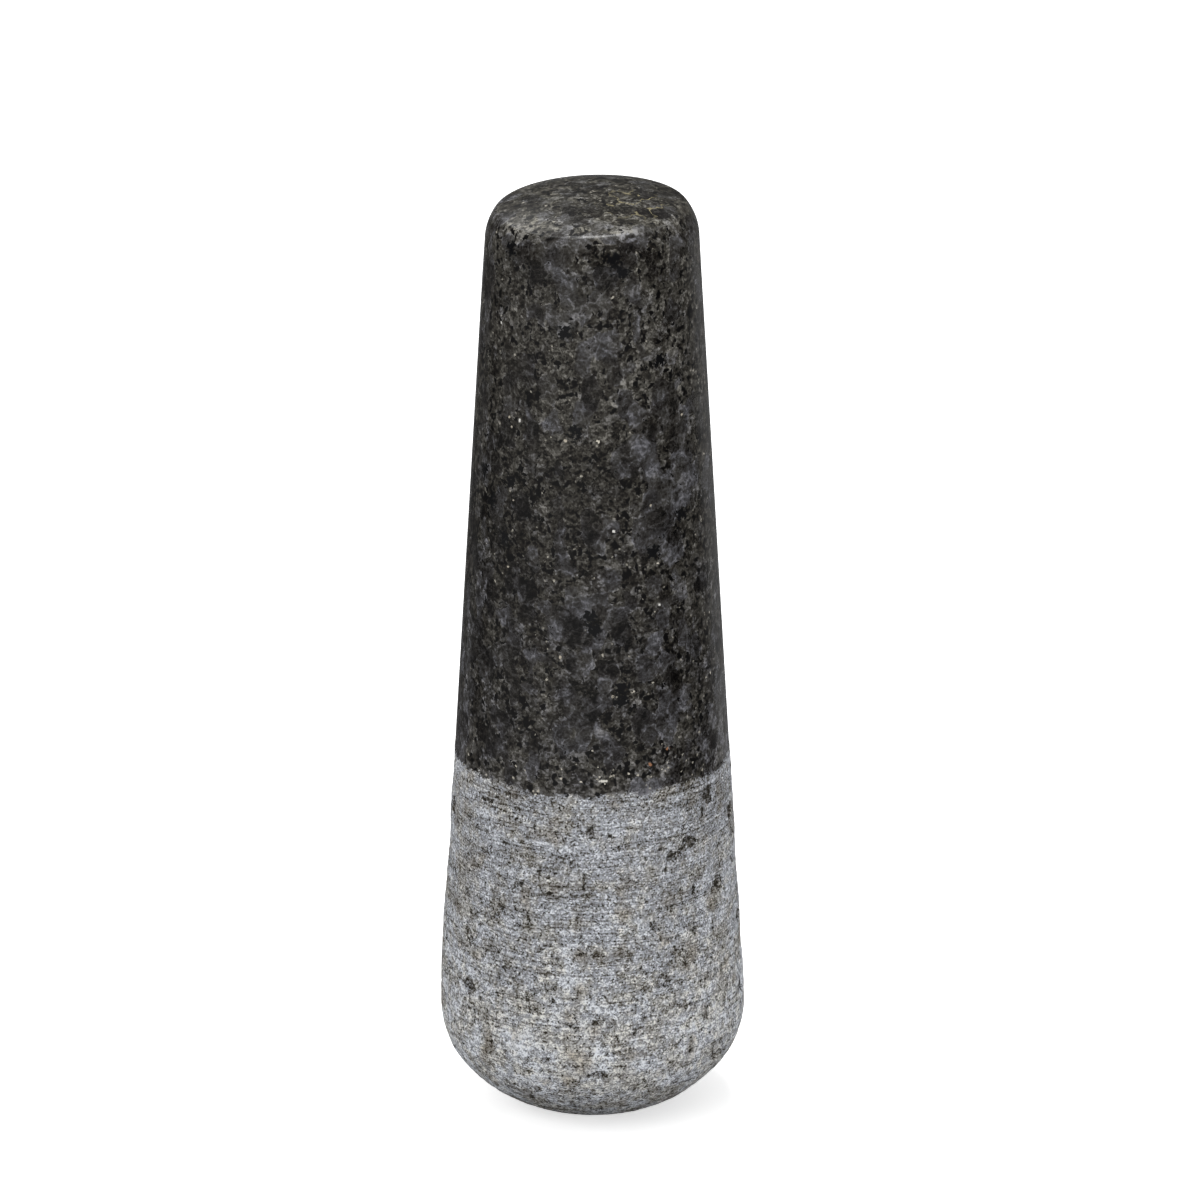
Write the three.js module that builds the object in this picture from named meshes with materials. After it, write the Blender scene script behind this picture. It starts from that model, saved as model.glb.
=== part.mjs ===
// Granite pestle: one piece of stone, turned to a taper, with a domed head to grind with and a crowned
// top. The head is left matt, as ground, and the grip above it is polished.
// Millimetres, +Z up. The origin is the centre of the flat that the pestle stands on.

import * as THREE from "three";
import { mergeGeometries } from "three/addons/utils/BufferGeometryUtils.js";

// Driving dimensions
const LENGTH = 110; // from the standing flat to the middle of the crown
const HEAD_DIAMETER = 35; // the widest, low on the head
const HEAD_RISE = 12.8; // half height of the ellipse that the head is turned to
const STANDING_FLAT_DIAMETER = 12; // ground on the tip of the head
const GRIP_DIAMETER = 23.7; // the polished taper's, level with the rim of the crown
const EDGE_INSET = 1.2; // from the taper in to that rim
const EDGE_RADIUS = 6; // rounding between the taper and the rim
const CROWN_HEIGHT = 1.7; // middle of the crown over its rim
const TOP_LEAN = 2.1; // degrees that the top, ground by hand, is out of square
const POLISH_LINE = 43.2; // height where the polish ends
const POLISH_DEPTH = 0.05; // stone that the polishing took off

// Facets
const FACETS_AROUND = 72;
const CURVE_DIVISIONS = 5; // each arc of an outline gets twice as many steps

const groundGranite = new THREE.MeshStandardMaterial({
  name: "ground granite",
  color: 0x8d8e90,
  roughness: 0.85,
  metalness: 0,
});

const polishedGranite = new THREE.MeshStandardMaterial({
  name: "polished granite",
  color: 0x393836,
  roughness: 0.2,
  metalness: 0,
});

// The head is an ellipse whose tip is cut off by the standing flat, which lies at height 0.
const headRadius = HEAD_DIAMETER / 2;
const flatRadius = STANDING_FLAT_DIAMETER / 2;
const flatAngle = -Math.acos(flatRadius / headRadius);
const headCentre = -HEAD_RISE * Math.sin(flatAngle);

// The taper, as ground, leaves the head without a corner: it is the line that starts at the rim's height
// and touches the ellipse. The touching point is found where that ellipse becomes a circle of radius 1.
const rimHeight = LENGTH - CROWN_HEIGHT;
const groundGripRadius = GRIP_DIAMETER / 2 + POLISH_DEPTH;
const gripOnCircle = new THREE.Vector2(groundGripRadius / headRadius, (rimHeight - headCentre) / HEAD_RISE);
const touchAngle = gripOnCircle.angle() - Math.acos(1 / gripOnCircle.length());
const touchRadius = headRadius * Math.cos(touchAngle);
const touchHeight = headCentre + HEAD_RISE * Math.sin(touchAngle);
const taperAngle = Math.atan2(touchRadius - groundGripRadius, rimHeight - touchHeight);

// The edge turns from the taper's slope until it reaches the rim of the crown.
const rimRadius = GRIP_DIAMETER / 2 - EDGE_INSET;
const edgeTurn = Math.acos(1 - (EDGE_INSET * Math.cos(taperAngle)) / EDGE_RADIUS);
const edgeCentreRadius = rimRadius - EDGE_RADIUS * Math.cos(taperAngle + edgeTurn);
const edgeCentreHeight = rimHeight - EDGE_RADIUS * Math.sin(taperAngle + edgeTurn);
const edgeStartRadius = edgeCentreRadius + EDGE_RADIUS * Math.cos(taperAngle);
const edgeStartHeight = edgeCentreHeight + EDGE_RADIUS * Math.sin(taperAngle);

// The crown is the cap of a sphere.
const crownRadius = (rimRadius ** 2 + CROWN_HEIGHT ** 2) / (2 * CROWN_HEIGHT);

function groundOutline() {
  const outline = new THREE.Path();
  const groundRadius = touchRadius - (POLISH_LINE - touchHeight) * Math.tan(taperAngle);
  outline.moveTo(0, 0);
  outline.lineTo(flatRadius, 0);
  outline.absellipse(0, headCentre, headRadius, HEAD_RISE, flatAngle, touchAngle);
  outline.lineTo(groundRadius, POLISH_LINE);
  outline.lineTo(groundRadius - POLISH_DEPTH, POLISH_LINE);
  return outline;
}

function polishedOutline(start) {
  const outline = new THREE.Path();
  outline.moveTo(start.x, start.y);
  outline.lineTo(edgeStartRadius, edgeStartHeight);
  outline.absarc(edgeCentreRadius, edgeCentreHeight, EDGE_RADIUS, taperAngle, taperAngle + edgeTurn);
  outline.absarc(0, LENGTH - crownRadius, crownRadius, Math.acos(rimRadius / crownRadius), Math.PI / 2);
  return outline;
}

function turn(outline) {
  const surface = new THREE.LatheGeometry(outline.getPoints(CURVE_DIVISIONS), FACETS_AROUND);
  surface.rotateX(Math.PI / 2);
  return surface;
}

// Tilts everything from the start of the rounded edge up, so that the top is higher towards +X.
function leanTop(surface) {
  const places = surface.getAttribute("position");
  const slope = Math.tan(THREE.MathUtils.degToRad(TOP_LEAN));
  const betweenRings = (POLISH_LINE + edgeStartHeight) / 2;
  for (let i = 0; i < places.count; i++) {
    if (places.getZ(i) > betweenRings) {
      places.setZ(i, places.getZ(i) + slope * places.getX(i));
    }
  }
  surface.computeVertexNormals();
}

function makePestle() {
  const ground = groundOutline();
  const polished = polishedOutline(ground.currentPoint);
  const stone = mergeGeometries([turn(ground), turn(polished)], true);
  leanTop(stone);
  const pestle = new THREE.Mesh(stone, [groundGranite, polishedGranite]);
  pestle.name = "pestle";
  return pestle;
}

const granitePestle = new THREE.Group();
granitePestle.name = "granite_pestle";
granitePestle.add(makePestle());

export default granitePestle;
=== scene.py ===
import math
import random
from types import SimpleNamespace

import bmesh
import bpy
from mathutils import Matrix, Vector, noise


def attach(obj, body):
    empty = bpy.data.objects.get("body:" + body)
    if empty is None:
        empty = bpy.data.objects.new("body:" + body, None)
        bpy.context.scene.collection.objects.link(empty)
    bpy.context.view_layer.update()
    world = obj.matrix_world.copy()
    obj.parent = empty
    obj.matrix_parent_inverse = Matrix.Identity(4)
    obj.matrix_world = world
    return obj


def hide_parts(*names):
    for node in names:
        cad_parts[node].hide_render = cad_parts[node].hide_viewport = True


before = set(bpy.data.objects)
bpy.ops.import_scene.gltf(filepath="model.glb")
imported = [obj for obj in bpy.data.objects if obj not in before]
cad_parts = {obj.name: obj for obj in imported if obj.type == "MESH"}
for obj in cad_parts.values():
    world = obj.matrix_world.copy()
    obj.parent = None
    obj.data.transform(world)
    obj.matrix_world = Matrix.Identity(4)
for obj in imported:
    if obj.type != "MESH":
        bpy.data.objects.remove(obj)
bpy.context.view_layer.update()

MM = 0.001

# The stone's own sizes, in millimetres. The head, the taper, the edge and the crown follow the solid.
LENGTH = 110
HEAD_DIAMETER = 35
HEAD_RISE = 12.8
STANDING_FLAT_DIAMETER = 12
GRIP_DIAMETER = 23.7
EDGE_INSET = 1.2
EDGE_RADIUS = 6
CROWN_HEIGHT = 1.7
CREASE_RADIUS = 1.4
TOP_LEAN = math.radians(2.1)
POLISH_LINE = 43.2
POLISH_DEPTH = 0.05

# The ground stone's uneven surface: the size of each kind of form and how far it moves the surface. A pore
# begins and is deepest at the two levels of its noise. Towards the flat and the polish all of it fades out.
TURNING_SIZE = 9
TURNING_DEPTH = 0.45
COARSE_GRAIN_SIZE = 0.9
COARSE_GRAIN_DEPTH = 0.16
PORE_SIZE = 0.8
PORE_DEPTH = 0.2
PORE_LEVELS = (0.65, 0.76)
FADE_AT_FLAT = 2
FADE_AT_POLISH = 1.5

# The hollows in the ground stone, kind by kind: half width, half height, depth, and the places of those in
# sight, each an angle from the front to the right in degrees and a height. The last are shallow mottles.
# Others are strewn out of sight.
HOLLOW_DEPTH = 0.3
HOLLOWS = (
    (1.3, 0.7, HOLLOW_DEPTH, ((35, 35), (42, 36), (59, 8.5), (2, 9.5))),
    (0.9, 1.2, HOLLOW_DEPTH, ((60, 29.5), (56, 40.5), (-55, 17.5), (29, 20.5))),
    (0.4, 1, 0.2, ((52, 39), (0, 39), (45, 30.5), (-3, 33), (44, 25.5))),
    (1.6, 1.2, 0.09, (
        (-46, 40.5), (-33, 40.5), (-12, 38), (-11, 35.5), (-32, 31.5), (-41, 28), (-27, 28), (-5, 24),
        (24, 27), (35, 23.5), (-57, 23.5), (-44, 22.5),
    )),
)
STREWN_ANGLES = (75, 285)
STREWN_HEIGHTS = (8, 41)
STREWN_PER_HOLLOW_IN_SIGHT = 2
STREWN_SEED = 5

# A hollow's outline is ragged by noise: the noise's size, and how far it goes as a share of the half width.
# The walls go down by so many depths over a half width, and reach so many half heights up and down at most.
HOLLOW_RAGS = ((0.9, 0.8), (0.4, 0.6))
HOLLOW_STEEPNESS = 1.5
HOLLOW_REACH = 2

# The single grains that catch the eye in the polished stone, kind by kind: radius, colour and places, each
# an angle and a height as above. The last are clusters of black grains.
GRAINS = (
    (0.16, "#dcdad4", ((32, 65), (10, 74.5), (-54, 97), (-38, 86.5))),
    (0.13, "#b3ab9c", (
        (-40, 77), (-14, 59.5), (9, 55), (-42, 69), (-45, 86.5), (-43, 85.5), (29, 77), (50, 86.5),
        (-13, 85),
    )),
    (0.19, "#966c51", ((25, 46.5), (34, 48))),
    (0.11, "#d2cfc6", ((3, 45), (4, 45), (5, 45), (6, 45))),
    (0.8, "#0a0a0c", (
        (-14, 97.5), (-49, 106), (12, 106), (16, 104.5), (37, 93.5), (-8, 86), (29, 71.5), (-42, 79),
        (-63, 79), (-55, 76), (-45, 72.5), (47, 75), (-1, 64.5), (1, 63), (13, 56), (13, 54.5),
    )),
)

# A grain is solid within this share of its radius, and has faded out at this distance beyond it
GRAIN_CORE = 0.8
GRAIN_FADE = 0.05

# Broad patches that show on the sides: angle, height, radius, and how much paler they are, or darker below 0
SIDE_PATCHES = (
    (-52, 72, 11, -0.13),
    (28, 93, 8, 0.14),
    (0, 54, 4, -0.14),
    (0, 81, 4, -0.12),
    (-15, 67, 4, -0.08),
    (-30, 97, 6, 0.07),
    (55, 103, 5, 0.09),
    (-60, 104, 4, 0.1),
    (60, 84, 5, -0.08),
    (52, 41, 6, -0.14),
    (-45, 36, 4, -0.06),
    (-32, 21.5, 3.5, -0.08),
    (-14, 20.5, 3, 0.1),
    (-28, 15, 5, 0.08),
    (50, 18, 6, 0.06),
    (0, 29, 3.5, -0.07),
    (15, 29, 3.5, 0.07),
)

# The patches that show on the crown: x, y, radius and the same change. The pale one at the front left is
# partly a
# # painted sheen, and the two bright ones by the crease, right of the middle, are painted glints.
CROWN_PATCHES_AND_GLINTS = (
    (-7, -6, 3.5, 0.25),
    (3, -9.5, 1.2, 0.6),
    (4.5, -9, 1.2, 0.5),
    (-2, -6.5, 1.5, -0.25),
    (8, 1, 2, -0.2),
    (3, 4.5, 1.5, -0.2),
)

# A patch is at its full change within the first share of its radius, and ends at the second
PATCH_CORE = 0.4
PATCH_RIM = 1.2

# The veins on the crown: where their middle is, and the radii within which all and some of them show
CROWN_VEINS = (4.5, -3)
VEIN_ZONE = (2.5, 4.5)

# The scuffs on the crease, partly wear and partly a painted highlight: how far from its centre and how far
# over the start of the edge they lie, and the half width of the stone that they are spread over
CREASE_WEAR_AND_GLINT_REACH = 1.1 * CREASE_RADIUS
CREASE_WEAR_AND_GLINT_START = 1
CREASE_WEAR_AND_GLINT_SPREAD = 10

# Sizes of the granite's patterns. A crystal is drawn out along the stone by the squeeze of its pattern, and a
# streak has its length where the stone has the streaks' radius.
CRYSTAL = 1.9
CRYSTAL_SQUEEZE = (1, 1, 0.7)
GRAIN = 0.5
GRIT = 0.24
SAND = 0.17
CLOUD = 1.1
PATCH = 3.2
BLOT = 1
WISP = 2.4
THREAD = 0.8
VEIN = 2.6
VIOLET_CAST = 2.6
BLUE_CAST = 1.3
STAIN = 2.6
CROWN_WAVE = 5
CREASE_WEAR_AND_GLINT = 0.8
FRAY = 0.7
GRAIN_RAG = 0.4
STREAK_LENGTH = 9
STREAK_WIDTH = 0.2
STREAK_RADIUS = 17
RELIEF_DEPTH = 0.05
MEAN_SWAY = Vector((0.5, 0.5, 0.5))

# Heights between which the stone's look changes; the first two bound the painted shade at the foot and the
# painted light low on the head
PAINTED_SHADE_AT_FOOT = (1, 9)
PAINTED_BOUNCE_ON_HEAD = (12, 20)
DOME_TO_POLISH = (16, 36)
LOW_GRIP = (POLISH_LINE + 1, POLISH_LINE + 8)
HIGH_GRIP = (60, 90)
CROWN = (107.8, 108.8)

# The frayed end of the polish: the mean of what sways it, and half of the height that it fades over
FRAY_MEAN = 2.55
FRAY_FADE = 0.1

# How matt the stone is, and how strongly its relief shows
GROUND_ROUGHNESS = 0.85
POLISHED_ROUGHNESS = 0.28
RELIEF_STRENGTH = 0.5

# Steps of the mesh, and the tolerances in millimetres for points that are one and for points of one height
STEPS_AROUND = 432
STEPS_ON_FLAT = 5
STEPS_ON_HEAD = 68
STEPS_ON_GROUND_TAPER = 104
STEPS_ON_GRIP = 14
STEPS_ON_EDGE = 8
STEPS_ON_CREASE = 6
STEPS_ON_CROWN = 14
NO_DISTANCE = 0.001
SAME_HEIGHT = 0.01

# The camera, as the outline in the photograph gives it
CAMERA_DISTANCE = 1300
CAMERA_ELEVATION = math.radians(21.3)
CAMERA_TARGET_X = 0.9
CAMERA_TARGET_Z = 60.9
PHOTO_PIXELS = 1200
PHOTO_PIXELS_PER_MM = 8.81
SENSOR_WIDTH = 36

# The lamps: azimuth from the front to the right and elevation in degrees, distance and size in metres, power
# in watts, and whether the polish mirrors them
SOFTBOXES = {
    "overhead_softbox": (180, 80, 1.2, 0.4, 7.5, True),
    "back_left_softbox": (-150, 42, 1.2, 0.6, 1.2, True),
    "left_softbox": (-44, 28, 1.5, 1.0, 10.8, False),
    "right_softbox": (55, 9, 1.5, 0.5, 7.5, False),
}

# The ring light, which only the polish mirrors, and the floor's paper: its size in metres, how pale it is for
# the light and for the camera, how much it glows for the camera, and the way its grey cards are lined up
RING_AXIS = (0.08, 0.53, 0.845)
RING_STRENGTH = 5.5
FLOOR_SIZE = 6
PAPER_IN_LIGHT = 0.55
PAPER_IN_SIGHT = 0.96
PAPER_GLOW = 0.57
CARDS_AXIS = (0.35, 0.94, 0)


# The outline, each point a radius and a height. The taper, as ground, touches the head's ellipse.

head_radius = HEAD_DIAMETER / 2
flat_radius = STANDING_FLAT_DIAMETER / 2
flat_angle = -math.acos(flat_radius / head_radius)
head_centre = -HEAD_RISE * math.sin(flat_angle)
rim_height = LENGTH - CROWN_HEIGHT
ground_grip_radius = GRIP_DIAMETER / 2 + POLISH_DEPTH
grip_across = ground_grip_radius / head_radius
grip_up = (rim_height - head_centre) / HEAD_RISE
touch_angle = math.atan2(grip_up, grip_across) - math.acos(1 / math.hypot(grip_across, grip_up))
touch = Vector((head_radius * math.cos(touch_angle), head_centre + HEAD_RISE * math.sin(touch_angle)))
taper_angle = math.atan2(touch.x - ground_grip_radius, rim_height - touch.y)
ground_end = Vector((touch.x - (POLISH_LINE - touch.y) * math.tan(taper_angle), POLISH_LINE))
polish_start = ground_end - Vector((POLISH_DEPTH, 0))

# The rounded edge and the crown
rim_radius = GRIP_DIAMETER / 2 - EDGE_INSET
edge_turn = math.acos(1 - EDGE_INSET * math.cos(taper_angle) / EDGE_RADIUS)
edge_centre = Vector((
    rim_radius - EDGE_RADIUS * math.cos(taper_angle + edge_turn),
    rim_height - EDGE_RADIUS * math.sin(taper_angle + edge_turn),
))
edge_start = edge_centre + EDGE_RADIUS * Vector((math.cos(taper_angle), math.sin(taper_angle)))
crown_radius = (rim_radius ** 2 + CROWN_HEIGHT ** 2) / (2 * CROWN_HEIGHT)
crown_centre = Vector((0, LENGTH - crown_radius))

# The crease between them is an arc that touches both: its centre is as far from each of theirs as their
# radius is larger than its own
apart = edge_centre - crown_centre
from_crown = crown_radius - CREASE_RADIUS
from_edge = EDGE_RADIUS - CREASE_RADIUS
inward = (from_crown ** 2 + apart.length ** 2 - from_edge ** 2) / (2 * apart.length)
sideways = math.sqrt(from_crown ** 2 - inward ** 2)
crease_centre = crown_centre + inward * apart.normalized() - sideways * apart.normalized().orthogonal()
crease_start = math.atan2(crease_centre.y - edge_centre.y, crease_centre.x - edge_centre.x)
crease_end = math.atan2(crease_centre.y - crown_centre.y, crease_centre.x - crown_centre.x)


# Modelling

def select_where(piece, test):
    """Selects the vertices of a piece in edit mode whose place passes the test, and what lies between."""
    mesh = bmesh.from_edit_mesh(piece.data)
    for vertex in mesh.verts:
        vertex.select = test(vertex.co / MM)
    mesh.select_flush_mode()
    bmesh.update_edit_mesh(piece.data)


def draw_line(start, end, steps=1):
    """Extrudes the selected end of the outline by a straight line, cut into steps."""
    step = (end - start) * MM / steps
    for _ in range(steps):
        bpy.ops.mesh.extrude_region_move(TRANSFORM_OT_translate={"value": (step.x, 0, step.y)})


def draw_arc(centre, angle, steps):
    """Spins the selected end of the outline about a centre, upwards."""
    pivot = (centre.x * MM, 0, centre.y * MM)
    bpy.ops.mesh.spin(steps=steps, angle=angle, center=pivot, axis=(0, 1, 0), use_auto_merge=False)


def draw_outline(stone):
    """Draws the outline from the axis at the foot to the axis at the top."""
    # The head's outline is an arc of a circle, squeezed to the ellipse
    bpy.ops.mesh.merge(type="CENTER")
    arc_start = Vector((flat_radius, 0, head_centre + head_radius * math.sin(flat_angle)))
    bpy.ops.transform.translate(value=arc_start * MM)
    draw_arc(Vector((0, head_centre)), touch_angle - flat_angle, STEPS_ON_HEAD)
    bpy.ops.mesh.select_all(action="SELECT")
    bpy.ops.transform.resize(value=(1, 1, HEAD_RISE / head_radius), center_override=(0, 0, head_centre * MM))

    # From its low end in to the axis, and from its high end up to the top
    select_where(stone, lambda place: place.z < NO_DISTANCE)
    draw_line(Vector((flat_radius, 0)), Vector((0, 0)), STEPS_ON_FLAT)
    select_where(stone, lambda place: place.z > touch.y - NO_DISTANCE)
    draw_line(touch, ground_end, STEPS_ON_GROUND_TAPER)
    draw_line(ground_end, polish_start)
    draw_line(polish_start, edge_start, STEPS_ON_GRIP)
    draw_arc(edge_centre, crease_start - taper_angle, STEPS_ON_EDGE)
    draw_arc(crease_centre, crease_end - crease_start, STEPS_ON_CREASE)
    draw_arc(crown_centre, math.pi / 2 - crease_end, STEPS_ON_CROWN)


def turn_stone():
    """Turns the outline about the upright axis."""
    bpy.ops.object.select_all(action="DESELECT")
    bpy.ops.mesh.primitive_plane_add(size=MM)
    stone = bpy.context.object
    stone.name = "pestle_stone"
    bpy.ops.object.mode_set(mode="EDIT")
    draw_outline(stone)
    bpy.ops.object.mode_set(mode="OBJECT")
    bpy.ops.object.modifier_add(type="SCREW")
    turning = stone.modifiers[-1]
    turning.steps = STEPS_AROUND
    turning.render_steps = STEPS_AROUND
    bpy.ops.object.modifier_apply(modifier=turning.name)
    bpy.ops.object.mode_set(mode="EDIT")
    bpy.ops.mesh.select_all(action="SELECT")
    bpy.ops.mesh.remove_doubles(threshold=NO_DISTANCE * MM)
    bpy.ops.mesh.normals_make_consistent(inside=False)

    # The top leans as its hand grinding left it, and the step at the end of the polish is crisp
    select_where(stone, lambda place: place.z > edge_start.y - SAME_HEIGHT)
    bpy.ops.transform.rotate(value=TOP_LEAN, orient_axis="Y", center_override=(0, 0, edge_start.y * MM))
    select_where(stone, lambda place: abs(place.z - POLISH_LINE) < SAME_HEIGHT)
    bpy.ops.mesh.mark_sharp()
    bpy.ops.object.mode_set(mode="OBJECT")
    bpy.ops.object.shade_smooth()
    return stone


def mark_crease(stone):
    """Marks the crease's points, for the scuffs and the painted highlight on it."""
    crease = stone.data.attributes.new("crease", "FLOAT", "POINT")
    for vertex in stone.data.vertices:
        place = vertex.co / MM
        on_outline = Vector((math.hypot(place.x, place.y), place.z - place.x * math.tan(TOP_LEAN)))
        near_centre = (on_outline - crease_centre).length < CREASE_WEAR_AND_GLINT_REACH
        if near_centre and on_outline.y > edge_start.y + CREASE_WEAR_AND_GLINT_START:
            crease.data[vertex.index].value = 1


def displace(stone, group, strength, texture=None, middle=0.0):
    """Moves the group's vertices along their normals, by the texture where there is one."""
    bpy.ops.object.modifier_add(type="DISPLACE")
    modifier = stone.modifiers[-1]
    modifier.texture = texture
    modifier.texture_coords = "LOCAL"
    modifier.vertex_group = group
    modifier.mid_level = middle
    modifier.strength = strength * MM
    bpy.ops.object.modifier_apply(modifier=modifier.name)


def clouds(name, size, octaves):
    texture = bpy.data.textures.new(name, "CLOUDS")
    texture.noise_scale = size * MM
    texture.noise_depth = octaves
    return texture


def pores():
    """A texture that is 1 on the plain stone and goes down to 0 in small separate pores."""
    texture = clouds("pores", PORE_SIZE, octaves=1)
    texture.noise_basis = "IMPROVED_PERLIN"
    texture.use_color_ramp = True
    for element, level, height in zip(texture.color_ramp.elements, PORE_LEVELS, (1, 0)):
        element.position = level
        element.color = grey(height)
    return texture


def list_hollows():
    chance = random.Random(STREWN_SEED)
    hollows = []
    for half_width, half_height, depth, in_sight in HOLLOWS:
        places = list(in_sight)
        for _ in range(STREWN_PER_HOLLOW_IN_SIGHT * len(in_sight)):
            places.append((chance.uniform(*STREWN_ANGLES), chance.uniform(*STREWN_HEIGHTS)))
        hollows += [(math.radians(angle), height, half_width, half_height, depth) for angle, height in places]
    return hollows


def hollow_weight(place, hollows):
    """How deep a place on the ground stone lies in the hollows there, as a share of the deepest ones."""
    radius = math.hypot(place.x, place.y)
    turned = math.atan2(place.x, -place.y)
    ragged = sum(share * noise.noise(place / size) for size, share in HOLLOW_RAGS)
    deepest = 0
    for angle, height, half_width, half_height, depth in hollows:
        up = (place.z - height) / half_height
        if abs(up) < HOLLOW_REACH:
            along = math.remainder(turned - angle, 2 * math.pi) * radius / half_width
            inside = 1 - math.hypot(along, up) + ragged
            deepest = max(deepest, min(1, HOLLOW_STEEPNESS * inside) * depth / HOLLOW_DEPTH)
    return deepest


def roughen_ground_stone(stone):
    """Gives the ground stone its uneven surface, pores and hollows, and keeps how deep each point went."""
    bpy.ops.object.select_all(action="DESELECT")
    stone.select_set(True)
    bpy.context.view_layer.objects.active = stone
    ground_group = stone.vertex_groups.new(name="ground")
    hollow_group = stone.vertex_groups.new(name="hollows")
    hollows = list_hollows()
    for vertex in stone.data.vertices:
        place = vertex.co / MM
        if NO_DISTANCE < place.z < POLISH_LINE - NO_DISTANCE:
            share = min(1, place.z / FADE_AT_FLAT, (POLISH_LINE - place.z) / FADE_AT_POLISH)
            ground_group.add([vertex.index], share, "REPLACE")
            weight = hollow_weight(place, hollows)
            if weight > 0:
                hollow_group.add([vertex.index], weight, "REPLACE")

    displace(stone, "ground", TURNING_DEPTH, clouds("uneven_turning", TURNING_SIZE, octaves=1), middle=0.5)
    coarse_grain = clouds("coarse_grain", COARSE_GRAIN_SIZE, octaves=3)
    displace(stone, "ground", COARSE_GRAIN_DEPTH, coarse_grain, middle=0.5)
    turned = [vertex.co.copy() for vertex in stone.data.vertices]
    normals = [vertex.normal.copy() for vertex in stone.data.vertices]
    displace(stone, "ground", PORE_DEPTH, pores(), middle=1)
    displace(stone, "hollows", -HOLLOW_DEPTH)

    hollow = stone.data.attributes.new("hollow", "FLOAT", "POINT")
    for vertex, before, normal in zip(stone.data.vertices, turned, normals):
        hollow.data[vertex.index].value = (before - vertex.co).dot(normal) / MM
    bpy.ops.object.shade_smooth()


# Nodes

def linear(colour):
    """An sRGB hex colour as the linear colour that a shader takes."""
    channels = [int(colour[i:i + 2], 16) / 255 for i in (1, 3, 5)]
    return [c / 12.92 if c <= 0.04045 else ((c + 0.055) / 1.055) ** 2.4 for c in channels] + [1]


def grey(value):
    return (value, value, value, 1)


def add_node(tree, kind, output, inputs={}, stops=(), **settings):
    """Adds a node, sets or links its inputs by identifier, and returns the output of that identifier."""
    made = tree.nodes.new(kind)
    for name, value in settings.items():
        setattr(made, name, value)
    for name, value in inputs.items():
        by_number = isinstance(name, int)
        socket = made.inputs[name] if by_number else next(s for s in made.inputs if s.identifier == name)
        if isinstance(value, bpy.types.NodeSocket):
            tree.links.new(value, socket)
        else:
            socket.default_value = value
    for number, (position, colour) in enumerate(stops):
        if number > 1:
            made.color_ramp.elements.new(position)
        made.color_ramp.elements[number].position = position
        made.color_ramp.elements[number].color = colour
    return next(s for s in made.outputs if s.identifier == output)


def sum_of(tree, start, *parts):
    """A number or socket, with each further socket times its weight added to it."""
    total = start
    for socket, weight in parts:
        total = add_node(
            tree, "ShaderNodeMath", "Value", {0: socket, 1: weight, 2: total}, operation="MULTIPLY_ADD"
        )
    return total


def product_of(tree, first, *others):
    total = first
    for socket in others:
        total = add_node(tree, "ShaderNodeMath", "Value", {0: total, 1: socket}, operation="MULTIPLY")
    return total


def fade(tree, value, start, end, low=0, high=1):
    """A number that goes from low to high while the value goes from start to end."""
    return add_node(
        tree, "ShaderNodeMapRange", "Result",
        {"Value": value, "From Min": start, "From Max": end, "To Min": low, "To Max": high},
    )


def ramp_of(tree, value, *stops):
    """A colour that goes through the stops, each a number and a colour, as the value goes up."""
    return add_node(tree, "ShaderNodeValToRGB", "Color", {"Fac": value}, stops)


def mixed(tree, share, first, second, blend="MIX"):
    """The first colour, with that share of the second mixed in."""
    return add_node(
        tree, "ShaderNodeMix", "Result_Color",
        {"Factor_Float": share, "A_Color": first, "B_Color": second}, data_type="RGBA", blend_type=blend,
    )


def mixed_numbers(tree, share, first, second):
    return add_node(
        tree, "ShaderNodeMix", "Result_Float",
        {"Factor_Float": share, "A_Float": first, "B_Float": second}, data_type="FLOAT",
    )


# Patterns of the stone. They are laid out in millimetres, so each one's scale is one over its size.

def noise_of(tree, place, size, detail, roughness=0.5, output="Fac"):
    """A noise around 0.5 whose forms have about that size."""
    return add_node(
        tree, "ShaderNodeTexNoise", output,
        {"Vector": place, "Scale": 1 / size, "Detail": detail, "Roughness": roughness},
    )


def grains_of(tree, place, size, **settings):
    """Three numbers by chance for each grain of that size."""
    inputs = {"Vector": place, "Scale": 1 / size, "Smoothness": 0.4}
    dice = add_node(tree, "ShaderNodeTexVoronoi", "Color", inputs, **settings)
    channels = ("Red", "Green", "Blue")
    return [add_node(tree, "ShaderNodeSeparateColor", channel, {"Color": dice}) for channel in channels]


def lines_of(tree, place, spacing, core, edge):
    """1 on winding lines, where a noise crosses its middle, and 0 between them."""
    wave = noise_of(tree, place, spacing, 2)
    swing = sum_of(tree, -0.5, (wave, 1))
    away = add_node(tree, "ShaderNodeMath", "Value", {0: swing}, operation="ABSOLUTE")
    return fade(tree, away, core, edge, 1, 0)


def spot_at(tree, place, centre, core, edge, ragged=None):
    """1 within the core radius of a centre, 0 beyond the edge radius, and ragged by a socket around 0."""
    away = add_node(tree, "ShaderNodeVectorMath", "Value", {0: place, 1: centre}, operation="DISTANCE")
    if ragged:
        away = sum_of(tree, away, (ragged, 1))
    return fade(tree, away, core, edge, 1, 0)


def patches_at(tree, place, start, patches):
    """A number or socket, plus the change of each soft patch, which is a centre, a radius and a change."""
    total = start
    for centre, radius, change in patches:
        spot = spot_at(tree, place, centre, PATCH_CORE * radius, PATCH_RIM * radius)
        total = sum_of(tree, total, (spot, change))
    return total


def place_on_taper(angle, height):
    share = (height - polish_start.y) / (edge_start.y - polish_start.y)
    radius = polish_start.lerp(edge_start, share).x
    return Vector((radius * math.sin(math.radians(angle)), -radius * math.cos(math.radians(angle)), height))


def place_on_crown(x, y):
    height = LENGTH - CROWN_HEIGHT * (x ** 2 + y ** 2) / rim_radius ** 2 + x * math.tan(TOP_LEAN)
    return Vector((x, y, height))


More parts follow.
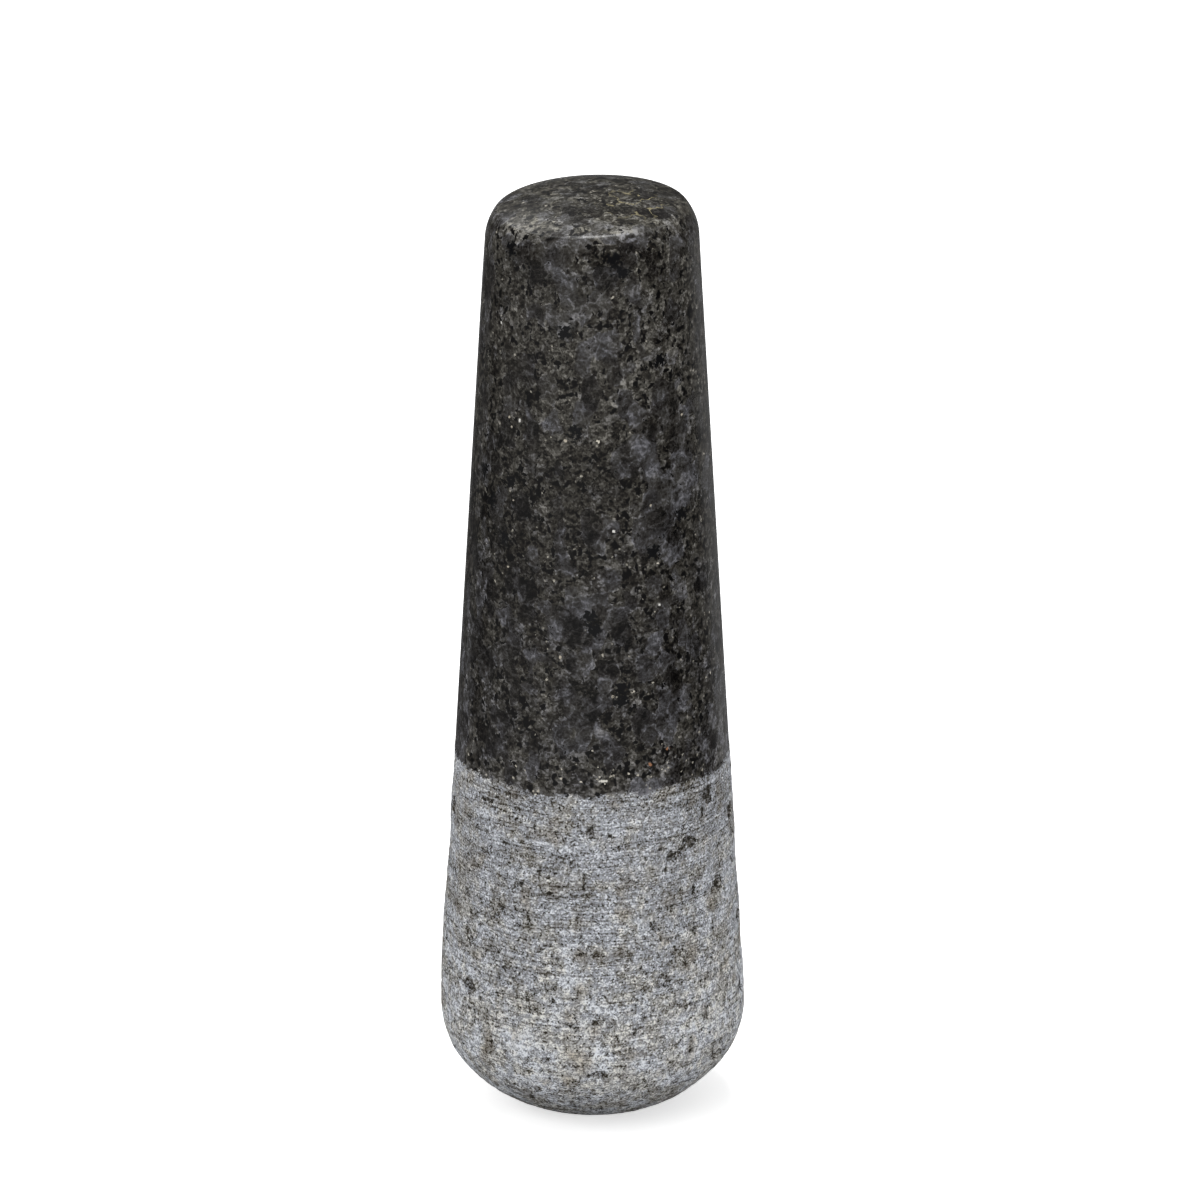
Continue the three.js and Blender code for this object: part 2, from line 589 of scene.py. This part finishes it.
def places_in(tree):
    """Places in the stone in millimetres: plain, bent so that crystals get ragged edges, and bent and drawn
    out along the stone."""
    metres = add_node(tree, "ShaderNodeTexCoord", "Object")
    plain = add_node(tree, "ShaderNodeVectorMath", "Vector", {0: metres, "Scale": 1 / MM}, operation="SCALE")
    sway = noise_of(tree, plain, CLOUD, 3, output="Color")
    bent = add_node(tree, "ShaderNodeVectorMath", "Vector", {0: plain, 1: sway}, operation="ADD")
    tall = add_node(
        tree, "ShaderNodeVectorMath", "Vector", {0: bent, 1: CRYSTAL_SQUEEZE}, operation="MULTIPLY"
    )
    height = add_node(tree, "ShaderNodeSeparateXYZ", "Z", {"Vector": plain})
    return SimpleNamespace(plain=plain, bent=bent, tall=tall, height=height)


def minerals_in(tree, at):
    """What the stone is made of, polished or not: feldspar crystals, half of them even and the others broken
    up, clouds and patches of light and dark, grains, grit, and ragged blots of black mineral."""
    crystal, crystal_pick, _ = grains_of(tree, at.tall, CRYSTAL, feature="SMOOTH_F1")
    even = fade(tree, crystal_pick, 0.42, 0.6)
    cloud = noise_of(tree, at.bent, CLOUD, 2, roughness=0.7)
    patch = noise_of(tree, at.bent, PATCH, 2)
    grain, _, grain_pick = grains_of(tree, at.bent, GRAIN)
    grit, grit_pick, _ = grains_of(tree, at.plain, GRIT)
    blot_wave = noise_of(tree, at.tall, BLOT, 3, roughness=0.6)
    blot_chance = sum_of(tree, blot_wave, (even, 0.06))
    blot = fade(tree, blot_chance, 0.38, 0.4, 1, 0)
    patches = [(place_on_taper(angle, height) + MEAN_SWAY, *rest) for angle, height, *rest in SIDE_PATCHES]
    side = patches_at(tree, at.bent, 0, patches)
    return SimpleNamespace(
        crystal=crystal, even=even, cloud=cloud, patch=patch, blot=blot, side=side,
        grain=grain, grain_pick=grain_pick, grit=grit, grit_pick=grit_pick,
    )


# The polish

def crease_wear_and_glint(tree, at):
    """Pale scuffs on parts of the crease under the crown, most of them right of its middle. They are partly
    wear and partly a painted highlight, brightest where the lamps would glint on the crease.
    """
    crease = add_node(tree, "ShaderNodeAttribute", "Fac", attribute_name="crease")
    on_crease = fade(tree, crease, 0.55, 0.95)
    wave = noise_of(tree, at.plain, CREASE_WEAR_AND_GLINT, 3)
    torn = fade(tree, wave, 0.4, 0.52)
    across = add_node(tree, "ShaderNodeSeparateXYZ", "X", {"Vector": at.plain})
    from_left = fade(tree, across, -CREASE_WEAR_AND_GLINT_SPREAD, CREASE_WEAR_AND_GLINT_SPREAD)
    share = ramp_of(
        tree, from_left, (0.05, grey(0.4)), (0.2, grey(0.25)), (0.5, grey(0.3)),
        (0.57, grey(1)), (0.72, grey(1)), (0.8, grey(0.15)),
    )
    return product_of(tree, on_crease, torn, share)


def crown_tone_and_glints(tree, at, rock, crown):
    """How much paler or darker the crown is from place to place, around 0. Some of its pale patches are
    painted sheen and painted glints.
    """
    wave = noise_of(tree, at.bent, CROWN_WAVE, 2)
    swing = sum_of(tree, -0.58, (wave, 1), (rock.grit, 0.12))
    patches = [(place_on_crown(x, y) + MEAN_SWAY, *rest) for x, y, *rest in CROWN_PATCHES_AND_GLINTS]
    return patches_at(tree, at.bent, product_of(tree, crown, swing), patches)


def polished_tone(tree, at, rock, crown, low_grip):
    """The light and dark of the polish."""
    # A pale veil lies along parts of the crystals' edges
    not_even = sum_of(tree, 1, (rock.even, -1))
    veiled = fade(tree, rock.cloud, 0.45, 0.6, 0, 4)
    weave = sum_of(tree, 0.4, (rock.grit, 1))
    veil = product_of(tree, rock.even, not_even, veiled, weave)

    # Pale wisps, where the feldspar cleaves, and light threads, a tenth of a millimetre wide
    wisp = lines_of(tree, at.bent, WISP, 0, 0.05)
    thread = lines_of(tree, at.bent, THREAD, 0, 0.03)
    # The small lift on the whole crown is painted light, as the top faces the lamps; the crease's scuffs and
    # the crown's pale patches add painted highlights
    marks = sum_of(
        tree, rock.side, (thread, 0.22), (veil, 0.22), (crease_wear_and_glint(tree, at), 0.55), (crown, 0.03),
        (crown_tone_and_glints(tree, at, rock, crown), 0.9), (low_grip, 0.11),
    )
    even_tone = sum_of(
        tree, -0.58, (rock.crystal, 0.55), (rock.cloud, 0.9), (rock.grit, 0.25), (rock.grain, 0.2),
        (wisp, 0.28), (marks, 1),
    )
    broken_tone = sum_of(tree, -0.54, (rock.grain, 0.45), (rock.grit, 0.5), (rock.cloud, 1.05), (marks, 1))
    return mixed_numbers(tree, rock.even, broken_tone, even_tone)


def polished_minerals(tree, at, rock, tone, crown):
    """Brown-black, with a violet cast on the even crystals, a warm one on the crown, and black minerals."""
    ramp_place = sum_of(tree, 0, (tone, 0.8))
    mineral = ramp_of(
        tree, ramp_place, (0, linear("#050404")), (0.2, linear("#1b1918")), (0.4, linear("#343332")),
        (0.6, linear("#4b4b4c")), (0.8, linear("#6e6e70")), (1, linear("#8a8a8a")),
    )
    cast = noise_of(tree, at.bent, VIOLET_CAST, 1)
    high = fade(tree, at.height, *HIGH_GRIP, 0, 0.2)
    cool = sum_of(tree, -0.5, (rock.even, 0.4), (cast, 1.1), (tone, 0.4), (high, -1))
    tint = ramp_of(tree, cool, (0.15, (1.07, 1.01, 0.86, 1)), (0.75, (0.985, 0.975, 1.03, 1)))
    tinted = mixed(tree, 1, mineral, tint, blend="MULTIPLY")
    warmed = mixed(tree, crown, tinted, (0.99, 0.99, 0.94, 1), blend="MULTIPLY")

    # The black minerals are blots, and specks in the broken crystals
    speck_chance = sum_of(tree, rock.grain_pick, (rock.even, -0.3))
    speck = fade(tree, speck_chance, 0.84, 0.88)
    black = add_node(tree, "ShaderNodeMath", "Value", {0: rock.blot, 1: speck}, operation="MAXIMUM")
    return mixed(tree, black, warmed, linear("#060505"))


def polished_colour(tree, at, rock):
    """The minerals as the polish shows them, with veins, flecks and single grains."""
    crown = fade(tree, at.height, *CROWN)
    low_grip = fade(tree, at.height, *LOW_GRIP, 1, 0)
    tone = polished_tone(tree, at, rock, crown, low_grip)
    minerals = polished_minerals(tree, at, rock, tone, crown)

    # Olive veins on the right of the crown
    vein_zone = spot_at(tree, at.plain, place_on_crown(*CROWN_VEINS), *VEIN_ZONE)
    vein = product_of(tree, vein_zone, lines_of(tree, at.bent, VEIN, 0.004, 0.02))
    veined = mixed(tree, vein, minerals, linear("#8a8266"))

    # Cream flecks, the brightest grit, more of them on the crown and just above the end of the polish
    fleck_chance = sum_of(
        tree, -0.055, (rock.grit_pick, 1), (rock.cloud, 0.1), (low_grip, 0.014), (crown, 0.006),
        (rock.even, -0.02),
    )
    fleck = fade(tree, fleck_chance, 0.988, 1.01)
    colour = mixed(tree, fleck, veined, linear("#cbc5b7"))

    # The single grains, ragged by up to twice their radius
    rag = noise_of(tree, at.plain, GRAIN_RAG, 2)
    for radius, hue, places in GRAINS:
        ragged = sum_of(tree, -2 * radius, (rag, 4 * radius))
        for place in places:
            centre = place_on_taper(*place)
            grain = spot_at(tree, at.plain, centre, GRAIN_CORE * radius, radius + GRAIN_FADE, ragged)
            colour = mixed(tree, grain, colour, linear(hue))
    return colour


# The ground stone

def turning_streaks(tree, at):
    """Light and dark streaks that run round the stone, around 0.5."""
    level = add_node(
        tree, "ShaderNodeVectorMath", "Vector", {0: at.plain, 1: (1, 1, 0)}, operation="MULTIPLY"
    )
    radius = add_node(tree, "ShaderNodeVectorMath", "Value", {0: level}, operation="LENGTH")
    outward = add_node(tree, "ShaderNodeVectorMath", "Vector", {0: level}, operation="NORMALIZE")
    around = add_node(
        tree, "ShaderNodeVectorMath", "Vector", {0: outward, "Scale": STREAK_RADIUS / STREAK_LENGTH},
        operation="SCALE",
    )
    along = sum_of(tree, 0, (at.height, 1 / STREAK_WIDTH), (radius, 1 / STREAK_WIDTH))
    upward = add_node(tree, "ShaderNodeCombineXYZ", "Vector", {"Z": along})
    place = add_node(tree, "ShaderNodeVectorMath", "Vector", {0: around, 1: upward}, operation="ADD")
    return noise_of(tree, place, 1, 3)


def over_head(tree, at, on_dome, under_polish):
    """A number that goes from one on the dome to another under the end of the polish."""
    return fade(tree, at.height, *DOME_TO_POLISH, on_dome, under_polish)


def hollow_and_pore_shade(tree, rock, fray):
    """1 in the hollows and pores, with frayed outlines and slightly paler floors. It darkens them partly for
    their dark mineral and partly as painted shade.
    """
    depth = add_node(tree, "ShaderNodeAttribute", "Fac", attribute_name="hollow")
    frayed_depth = sum_of(tree, -0.25, (depth, 1), (fray, 0.4), (rock.grit, 0.1))
    return ramp_of(tree, frayed_depth, (0.07, grey(0)), (0.12, grey(1)), (0.2, grey(1)), (0.3, grey(0.9)))


def ground_colour(tree, at, rock, streak, fray):
    """Pale sand, scored by the turning, with dark pepper and pocks, grey-blue with brown stains. Returned
    with the relief that goes with it."""
    sand, pepper_pick, chalk_pick = grains_of(tree, at.plain, SAND)
    pepper = fade(tree, pepper_pick, 0.92, 0.95)
    chalk = fade(tree, chalk_pick, 0.9, 0.94)
    streaked = product_of(tree, sum_of(tree, -0.5, (streak, 1)), over_head(tree, at, 0.95, 1.05))
    score = fade(tree, streak, 0.36, 0.41, 1, 0)
    pock_swing = sum_of(tree, -0.42, (rock.cloud, 0.6), (rock.grain, 0.3), (rock.blot, -0.22))
    pocked = product_of(tree, pock_swing, over_head(tree, at, 1.25, 0.5))
    patched = product_of(tree, sum_of(tree, -0.5, (rock.patch, 1)), over_head(tree, at, 0.65, 0.4))

    # Painted light: paler low on the head, where the floor's light falls back on it; and painted shade:
    # darker at its foot, by the floor
    low = fade(tree, at.height, *PAINTED_BOUNCE_ON_HEAD, 0.09, 0)
    foot = fade(tree, at.height, *PAINTED_SHADE_AT_FOOT, -0.25, 0)

    # The hollows and pores are darker, partly for their dark mineral and partly as painted shade
    hollow = hollow_and_pore_shade(tree, rock, fray)
    tone = sum_of(
        tree, 0.214, (rock.side, 1), (patched, 1), (sand, 0.65), (streaked, 0.95), (score, -0.05),
        (pocked, 1), (pepper, -0.4), (chalk, 0.22), (low, 1), (foot, 1), (hollow, -0.45),
    )
    crushed = ramp_of(
        tree, tone, (0, linear("#282520")), (0.2, linear("#5b5852")), (0.45, linear("#868789")),
        (0.7, linear("#a6a9ad")), (1, linear("#e0e2e3")),
    )
    cast = noise_of(tree, at.bent, BLUE_CAST, 2)
    cool = sum_of(tree, over_head(tree, at, -0.13, -0.08), (cast, 0.6), (rock.patch, 0.6))
    tint = ramp_of(tree, cool, (0.38, (1.04, 1, 0.93, 1)), (0.54, (0.98, 0.99, 1.03, 1)))
    tinted = mixed(tree, 1, crushed, tint, blend="MULTIPLY")
    stain_wave = noise_of(tree, at.bent, STAIN, 3)
    stain = fade(tree, stain_wave, 0.56, 0.7)
    colour = mixed(tree, stain, tinted, linear("#dfd7ca"), blend="MULTIPLY")
    relief = sum_of(tree, 0, (sand, 0.6), (rock.grain, 0.4), (streaked, 1))
    return colour, relief


def granite():
    """Dark granite, turned, polished over the grip and left as ground on the head. Polished, it shows even
    feldspar crystals with a violet cast in a broken black matrix. Ground, it is matt, pale and sandy."""
    material = bpy.data.materials.new("granite_polished_and_ground")
    material.use_nodes = True
    tree = material.node_tree
    tree.nodes.clear()
    at = places_in(tree)
    rock = minerals_in(tree, at)
    streak = turning_streaks(tree, at)
    fray = noise_of(tree, at.plain, FRAY, 3)
    polished = polished_colour(tree, at, rock)
    ground, relief = ground_colour(tree, at, rock, streak, fray)

    # The polish ends in a frayed line
    line = sum_of(
        tree, at.height, (fray, 1), (streak, 1), (rock.grit, 0.3), (rock.patch, 2), (rock.cloud, 0.8)
    )
    line_mean = POLISH_LINE + FRAY_MEAN
    polish = fade(tree, line, line_mean - FRAY_FADE, line_mean + FRAY_FADE)
    colour = mixed(tree, polish, ground, polished)
    polished_roughness = sum_of(tree, POLISHED_ROUGHNESS, (rock.even, -0.04))
    roughness = mixed_numbers(tree, polish, GROUND_ROUGHNESS, polished_roughness)
    bump_strength = sum_of(tree, RELIEF_STRENGTH, (polish, -RELIEF_STRENGTH))
    bump = add_node(
        tree, "ShaderNodeBump", "Normal",
        {"Strength": bump_strength, "Distance": RELIEF_DEPTH * MM, "Height": relief},
    )
    shader = add_node(
        tree, "ShaderNodeBsdfPrincipled", "BSDF",
        {
            "Base Color": colour, "Roughness": roughness, "Normal": bump,
            "IOR": 1.5, "Specular IOR Level": 0.25,
        },
    )
    output = tree.nodes.new("ShaderNodeOutputMaterial")
    tree.links.new(shader, output.inputs["Surface"])
    return material


# Stage

def paper():
    """White paper, matt. The camera sees it lit up to white, and the polish mirrors it as grey cards."""
    material = bpy.data.materials.new("white_paper")
    material.use_nodes = True
    tree = material.node_tree
    tree.nodes.clear()
    seen = add_node(tree, "ShaderNodeLightPath", "Is Camera Ray")
    mirrored = add_node(tree, "ShaderNodeLightPath", "Is Glossy Ray")
    place = add_node(tree, "ShaderNodeTexCoord", "Object")
    direction = add_node(tree, "ShaderNodeVectorMath", "Vector", {0: place}, operation="NORMALIZE")
    towards_back = add_node(
        tree, "ShaderNodeVectorMath", "Value", {0: direction, 1: CARDS_AXIS}, operation="DOT_PRODUCT"
    )
    from_front = fade(tree, towards_back, -1, 1)
    cards = ramp_of(
        tree, from_front, (0, grey(0.45)), (0.3, grey(0.25)), (0.56, grey(0.01)), (0.68, grey(0.14)),
        (0.78, grey(0.03)), (0.88, grey(0.08)), (0.94, grey(0.3)), (1, grey(0.16)),
    )
    sheet = mixed(tree, seen, grey(PAPER_IN_LIGHT), grey(PAPER_IN_SIGHT))
    colour = mixed(tree, mirrored, sheet, cards)
    matt = add_node(tree, "ShaderNodeBsdfDiffuse", "BSDF", {"Color": colour})
    glow = add_node(tree, "ShaderNodeEmission", "Emission", {"Color": grey(1), "Strength": PAPER_GLOW})
    lit = add_node(tree, "ShaderNodeAddShader", "Shader", {0: matt, 1: glow})
    shader = add_node(tree, "ShaderNodeMixShader", "Shader", {0: seen, 1: matt, 2: lit})
    output = tree.nodes.new("ShaderNodeOutputMaterial")
    tree.links.new(shader, output.inputs["Surface"])
    return material


def lay_floor():
    bpy.ops.object.select_all(action="DESELECT")
    bpy.ops.mesh.primitive_plane_add(size=FLOOR_SIZE)
    floor = bpy.context.object
    floor.name = "floor"
    floor.data.materials.append(paper())
    return floor


def light_surroundings():
    """A soft sky, dimmed in the polish, and a ring light above and behind the stone for the polish alone."""
    world = bpy.data.worlds.new("studio")
    bpy.context.scene.world = world
    world.use_nodes = True
    tree = world.node_tree
    direction = add_node(tree, "ShaderNodeTexCoord", "Generated")
    rise = add_node(tree, "ShaderNodeSeparateXYZ", "Z", {"Vector": direction})
    sky = ramp_of(tree, rise, (0, grey(0.12)), (0.25, grey(0.25)), (0.5, grey(0.5)), (1, grey(0.6)))
    towards_ring = add_node(
        tree, "ShaderNodeVectorMath", "Value", {0: direction, 1: RING_AXIS}, operation="DOT_PRODUCT"
    )
    ring = ramp_of(
        tree, towards_ring, (0.75, grey(0)), (0.78, grey(1)), (0.82, grey(1)), (0.85, grey(0))
    )
    above = fade(tree, rise, 0.5, 0.6)
    mirrored = add_node(tree, "ShaderNodeLightPath", "Is Glossy Ray")
    sky_light = product_of(tree, sky, sum_of(tree, 1, (mirrored, -0.5)))
    ring_light = product_of(tree, ring, above, mirrored)
    background = tree.nodes["Background"]
    background.inputs["Color"].default_value = grey(1)
    tree.links.new(sum_of(tree, sky_light, (ring_light, RING_STRENGTH)), background.inputs["Strength"])


def hang_softbox(name, azimuth, elevation, distance, size, power, mirrored):
    """Hangs a square lamp that faces the stone, out of the camera's sight."""
    lamp = bpy.data.lights.new(name, "AREA")
    lamp.size = size
    lamp.energy = power
    holder = bpy.data.objects.new(name, lamp)
    level = math.cos(math.radians(elevation))
    towards = Vector((
        math.sin(math.radians(azimuth)) * level,
        -math.cos(math.radians(azimuth)) * level,
        math.sin(math.radians(elevation)),
    ))
    holder.location = towards * distance + Vector((0, 0, LENGTH / 2 * MM))
    holder.rotation_euler = towards.to_track_quat("Z", "Y").to_euler()
    holder.visible_camera = False
    holder.visible_glossy = mirrored
    bpy.context.scene.collection.objects.link(holder)


def set_up_camera():
    lens = bpy.data.cameras.new("camera")
    lens.sensor_width = SENSOR_WIDTH
    lens.lens = PHOTO_PIXELS_PER_MM * CAMERA_DISTANCE / PHOTO_PIXELS * SENSOR_WIDTH
    camera = bpy.data.objects.new("camera", lens)
    camera.location = Vector((
        CAMERA_TARGET_X,
        -CAMERA_DISTANCE * math.cos(CAMERA_ELEVATION),
        CAMERA_TARGET_Z + CAMERA_DISTANCE * math.sin(CAMERA_ELEVATION),
    )) * MM
    camera.rotation_euler = (math.pi / 2 - CAMERA_ELEVATION, 0, 0)
    bpy.context.scene.collection.objects.link(camera)
    bpy.context.scene.camera = camera


stone = turn_stone()
mark_crease(stone)
roughen_ground_stone(stone)
stone.data.materials.append(granite())
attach(stone, "root")
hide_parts("pestle")

lay_floor()
light_surroundings()
for name, settings in SOFTBOXES.items():
    hang_softbox(name, *settings)
set_up_camera()
bpy.context.scene.view_settings.view_transform = "Standard"
